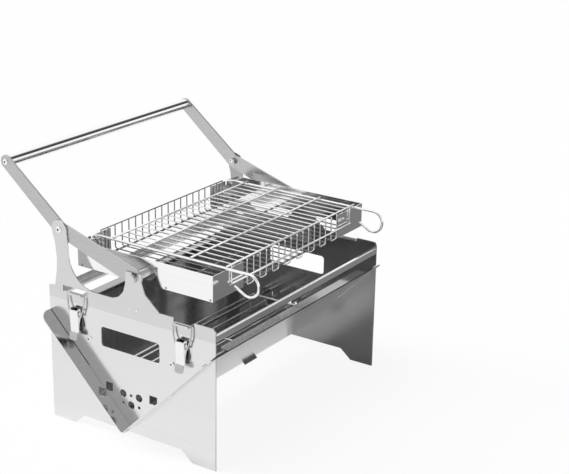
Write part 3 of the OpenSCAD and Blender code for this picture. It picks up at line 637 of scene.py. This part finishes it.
def turn(centre, radius, start, end, steps):
    """Points of an arc in a drawing; angles in degrees."""
    angles = [math.radians(start + (end - start) * step / steps) for step in range(steps + 1)]
    return [(centre[0] + radius * math.cos(angle), centre[1] + radius * math.sin(angle))
            for angle in angles]


def holed_plate(work, at, outline, holes, y0, y1):
    """A plate with holes, drawn in x and z, from y0 to y1."""
    loops = [outline] + holes
    flat = [Vector((x, z, 0.0)) for loop in loops for x, z in loop]
    faces = tessellate_polygon([[Vector((x, z, 0.0)) for x, z in loop] for loop in loops])
    sides = []
    for y in (y0, y1):
        verts = [work.verts.new(at(point[0], y, point[1])) for point in flat]
        for face in faces:
            work.faces.new([verts[index] for index in face])
        sides.append(verts)
    first = 0
    for loop in loops:
        for k in range(len(loop)):
            a, b = first + k, first + (k + 1) % len(loop)
            work.faces.new((sides[0][a], sides[0][b], sides[1][b], sides[1][a]))
        first += len(loop)


def lever_mesh(pin):
    def build(work):
        at = latch_place(pin)
        lever_sheet(work, at)
        face = [(-out + LEVER_T * FLANGE_IN_FACE, up) for out, up, half_w in LEVER_FACE[1:6]]
        outline = (turn((0.0, 0.0), LEVER_EAR_R, *EAR_TURN) + face + list(FLANGE_EDGE[::-1])
                   + turn(BAIL_HOLE, BAIL_EAR_R, *BAIL_EAR_TURN))
        holes = [turn((0.0, 0.0), PIN_R + FIT, *HOLE_TURN),
                 turn(BAIL_HOLE, BAIL_R + FIT, *HOLE_TURN)]
        half_w = LEVER_FACE[0][2]
        for side in (-1, 1):
            holed_plate(work, at, outline, holes, side * (half_w - LEVER_T), side * half_w)
    return build


def bail_path(pin):
    at = latch_place(pin)
    length = Vector(BAIL_BAR) - Vector(BAIL_HOLE)

    def on_bail(y, share):
        spot = Vector(BAIL_HOLE) + length * share
        return at(spot[0], y, spot[1])

    side = [(BAIL_INNER_Y, 0.0), (BAIL_FOOT_Y, 0.0), *BAIL_SIDE, (BAIL_HALF_W, 1.0)]
    near = [on_bail(y, share) for y, share in side]
    far = [on_bail(-y, share) for y, share in side[::-1]]
    return rounded(near + far, BEND_R)


for place in ("lf", "lb", "rf", "rb"):
    pin_place = joint_at["latch_" + place]
    new_piece("lever_" + place + "_sheet", lever_mesh(pin_place), ["latch_lever_" + place],
              "lever_" + place, smooth=False, finish="lever_sheet")
    wires("bail_" + place + "_wire", ["latch_bail_" + place], "bail_" + place,
          [(bail_path(pin_place), BAIL_R)], "bail_wire")


# Button-head screws

def screw(work, x, y, z, size):
    """A screw along x whose head's outer face is at x, turned from a profile of
    (distance inward, radius, whether it is a hexagon). Its socket gets the second material, a near
    black that paints the shade in the socket."""
    head_r, head_h, shank_r, length, socket_r = size
    inward = -1.0 if x > 0 else 1.0
    deep = head_h * SOCKET_DEPTH
    profile = (
        (deep, socket_r * 0.3, True), (deep, socket_r * 0.9, True), (0.0, socket_r, True),
        (0.0, head_r * 0.55, False), (head_h * 0.2, head_r * 0.84, False),
        (head_h * 0.55, head_r * 0.98, False), (head_h * 0.9, head_r, False),
        (head_h, head_r * 0.97, False), (head_h, shank_r, False),
        (length - shank_r * 0.3, shank_r, False), (length, shank_r * 0.75, False),
    )
    rings = []
    for along, radius, hexagon in profile:
        ring = []
        for k in range(SCREW_SIDES):
            angle = math.tau * k / SCREW_SIDES
            off_flat = angle % math.radians(60) - math.radians(30)
            corner = math.cos(math.radians(30)) / math.cos(off_flat)
            reach = radius * (corner if hexagon else 1.0)
            spot = (x + inward * along, y + reach * math.cos(angle), z + reach * math.sin(angle))
            ring.append(work.verts.new(spot))
        rings.append(ring)
    for index, (low, high) in enumerate(zip(rings, rings[1:])):
        for k in range(SCREW_SIDES):
            following = (k + 1) % SCREW_SIDES
            face = work.faces.new((low[k], low[following], high[following], high[k]))
            face.material_index = int(index < 2)
    work.faces.new(rings[0]).material_index = 1
    work.faces.new(rings[-1])


def screws(name, node, body, spots, size):
    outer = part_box(node)[1][0]

    def build(work):
        for side in (-1, 1):
            for y, z in spots:
                screw(work, side * outer, y, z, size)
    new_piece(name, build, [node], body, finish="chrome_wire", second_finish="painted_shade_socket")


bolt_low, bolt_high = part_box("panel_bolts")
bolt_z = (bolt_low[2] + bolt_high[2]) / 2
screws("panel_screws", "panel_bolts", "firebox",
       [(bolt_low[1] + PANEL_SCREW[0], bolt_z), (bolt_high[1] - PANEL_SCREW[0], bolt_z)],
       PANEL_SCREW)
grip_low, grip_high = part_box("grip_screws")
screws("grip_end_screws", "grip_screws", "lift_lever",
       [((grip_low[1] + grip_high[1]) / 2, (grip_low[2] + grip_high[2]) / 2)], GRIP_SCREW)
screws("pivot_screws", "pivot_bolts", "firebox", [tuple(joint_at["lift"][1:])], PIVOT_SCREW)


# Floor, light and camera

def floor():
    mesh = bpy.data.meshes.new("floor")
    corners = [(-FLOOR_HALF, -FLOOR_HALF, 0), (FLOOR_HALF, -FLOOR_HALF, 0),
               (FLOOR_HALF, FLOOR_HALF, 0), (-FLOOR_HALF, FLOOR_HALF, 0)]
    mesh.from_pydata(corners, [], [(0, 1, 2, 3)])
    plane = bpy.data.objects.new("floor", mesh)
    bpy.context.scene.collection.objects.link(plane)
    shader = Shader("pale_floor")
    seen = shader.node("ShaderNodeLightPath")
    spot = shader.node("ShaderNodeVectorMath", operation="DOT_PRODUCT")
    shader.join(shader.place.outputs["Object"], spot.inputs[0])
    spot.inputs[1].default_value = (*FLOOR_AXIS, 0.0)
    away = spot.outputs["Value"]
    dark = shader.maths("MULTIPLY", shader.span(away, 0.0, 1.0, *FLOOR_DARK_FROM),
                        shader.span(away, 1.0, 0.0, *FLOOR_DARK_TO))
    mirrored = shader.maths("MULTIPLY", dark, seen.outputs["Is Glossy Ray"])
    matt = shader.node("ShaderNodeBsdfDiffuse")
    colour = shader.mix_colour(mirrored, (FLOOR_TONE,) * 3, (FLOOR_DARK,) * 3)
    shader.join(colour, matt.inputs["Color"])
    glow = shader.node("ShaderNodeEmission")
    both = shader.node("ShaderNodeMixShader")
    white = shader.maths("MULTIPLY", seen.outputs["Is Camera Ray"], FLOOR_GLOW_SEEN)
    shader.join(white, both.inputs[0])
    shader.join(matt.outputs["BSDF"], both.inputs[1])
    shader.join(glow.outputs["Emission"], both.inputs[2])
    shader.join(both.outputs["Shader"], shader.output.inputs["Surface"])
    plane.data.materials.append(shader.material)


def world():
    """White for the camera. Metal mirrors a white studio with two dark sides, and the rest gets
    even light."""
    made = bpy.data.worlds.new("studio")
    made.use_nodes = True
    bpy.context.scene.world = made
    nodes = made.node_tree.nodes
    links = made.node_tree.links
    background = nodes["Background"]
    background.inputs["Color"].default_value = (1.0, 1.0, 1.0, 1.0)
    seen = nodes.new("ShaderNodeLightPath")
    place = nodes.new("ShaderNodeTexCoord")

    def joined(kind, first, second, operation):
        made = nodes.new(kind)
        made.operation = operation
        links.new(first, made.inputs[0])
        if isinstance(second, (float, Vector)):
            made.inputs[1].default_value = second
        else:
            links.new(second, made.inputs[1])
        return made

    def faded(value, start, end, low, high):
        made = nodes.new("ShaderNodeMapRange")
        made.interpolation_type = "SMOOTHSTEP"
        ends = (("From Min", start), ("From Max", end), ("To Min", low), ("To Max", high))
        for name, number in ends:
            made.inputs[name].default_value = number
        links.new(value, made.inputs["Value"])
        return made.outputs["Result"]

    around = place.outputs["Generated"]
    upward = joined("ShaderNodeVectorMath", around, Vector((0, 0, 1)), "DOT_PRODUCT")
    height = upward.outputs["Value"]
    level = None
    for direction, inner, outer, dark, lowest in DARK_SIDES:
        heading = Vector(direction).normalized()
        toward = joined("ShaderNodeVectorMath", around, heading, "DOT_PRODUCT")
        edge = math.cos(math.radians(outer))
        full = math.cos(math.radians(inner))
        near = faded(toward.outputs["Value"], edge, full, 0.0, 1.0)
        above = faded(height, lowest - DARK_FADE, lowest + DARK_FADE, 0.0, 1.0)
        shade = joined("ShaderNodeMath", near, above, "MULTIPLY").outputs[0]
        shade = faded(shade, 0.0, 1.0, 1.0, dark)
        if level is None:
            level = shade
        else:
            level = joined("ShaderNodeMath", level, shade, "MULTIPLY").outputs[0]

    mirrored = nodes.new("ShaderNodeMix")
    mirrored.inputs["A"].default_value = AMBIENT
    links.new(seen.outputs["Is Glossy Ray"], mirrored.inputs["Factor"])
    links.new(level, mirrored.inputs["B"])
    white = nodes.new("ShaderNodeMix")
    white.inputs["B"].default_value = 1.0
    links.new(seen.outputs["Is Camera Ray"], white.inputs["Factor"])
    links.new(mirrored.outputs["Result"], white.inputs["A"])
    links.new(white.outputs["Result"], background.inputs["Strength"])


def sun_light(name, direction, width, strength):
    """A large soft light from that direction; width is the angle in degrees that it fills."""
    data = bpy.data.lights.new(name, "SUN")
    data.angle = math.radians(width)
    data.energy = strength
    lamp = bpy.data.objects.new(name, data)
    bpy.context.scene.collection.objects.link(lamp)
    lamp.rotation_euler = (-Vector(direction)).to_track_quat("-Z", "Y").to_euler()
    lamp.visible_glossy = False


def camera():
    data = bpy.data.cameras.new("camera")
    data.lens = CAMERA_LENS
    data.sensor_width = SENSOR_W
    data.clip_end = FARTHEST_SEEN
    made = bpy.data.objects.new("camera", data)
    bpy.context.scene.collection.objects.link(made)
    back = Vector((math.sin(CAMERA_AZIMUTH) * math.cos(CAMERA_ELEVATION),
                   -math.cos(CAMERA_AZIMUTH) * math.cos(CAMERA_ELEVATION),
                   math.sin(CAMERA_ELEVATION)))
    right = Vector((0, 0, 1)).cross(back).normalized()
    up = back.cross(right)
    turned_right = right * math.cos(CAMERA_ROLL) + up * math.sin(CAMERA_ROLL)
    turned_up = up * math.cos(CAMERA_ROLL) - right * math.sin(CAMERA_ROLL)
    place = Matrix((turned_right, turned_up, back)).transposed().to_4x4()
    place.translation = CAMERA_TARGET + back * CAMERA_DISTANCE
    made.matrix_world = place
    bpy.context.scene.camera = made


floor()
world()
for light in LIGHTS:
    sun_light(*light)
camera()
bpy.context.scene.view_settings.view_transform = "Standard"
